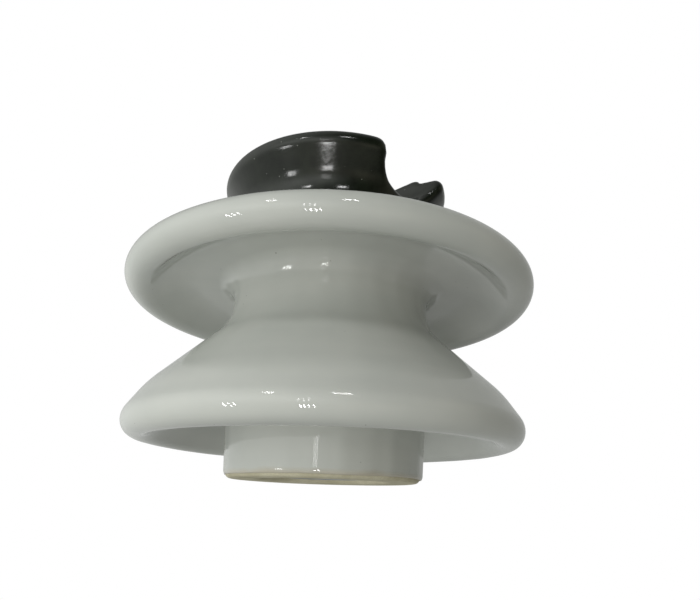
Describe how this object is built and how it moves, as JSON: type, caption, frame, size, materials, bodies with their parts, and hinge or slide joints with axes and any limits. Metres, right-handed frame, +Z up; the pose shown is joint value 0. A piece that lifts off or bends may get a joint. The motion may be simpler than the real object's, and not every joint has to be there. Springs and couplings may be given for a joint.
{
  "type": "pin insulator",
  "caption": "Two-shed grey porcelain pin insulator with a black grooved head and a threaded hole for its steel pin.",
  "frame": {"origin": "centre of the foot ring, on the plane it rests on", "axes": "+Z up along the pin axis, +X along the conductor groove"},
  "size_m": [0.1906, 0.1906, 0.146],
  "materials": {
    "bare_porcelain": "unglazed, matt",
    "grey_glaze": "gloss",
    "black_glaze": "gloss",
    "porcelain_grit": "rough",
    "cement": "matt",
    "bitumen": "matt",
    "zinc": "dull cast metal",
    "cork": "matt"
  },
  "bodies": {
    "root": {"porcelain_body": "bare_porcelain", "grey_glaze": "grey_glaze", "head_glaze": "black_glaze", "socket_glaze": "black_glaze", "socket_grit_band": "porcelain_grit", "thimble_cement": "cement", "thimble_film": "bitumen", "pin_thimble": "zinc", "cushion_disc": "cork"}
  },
  "joints": []
}
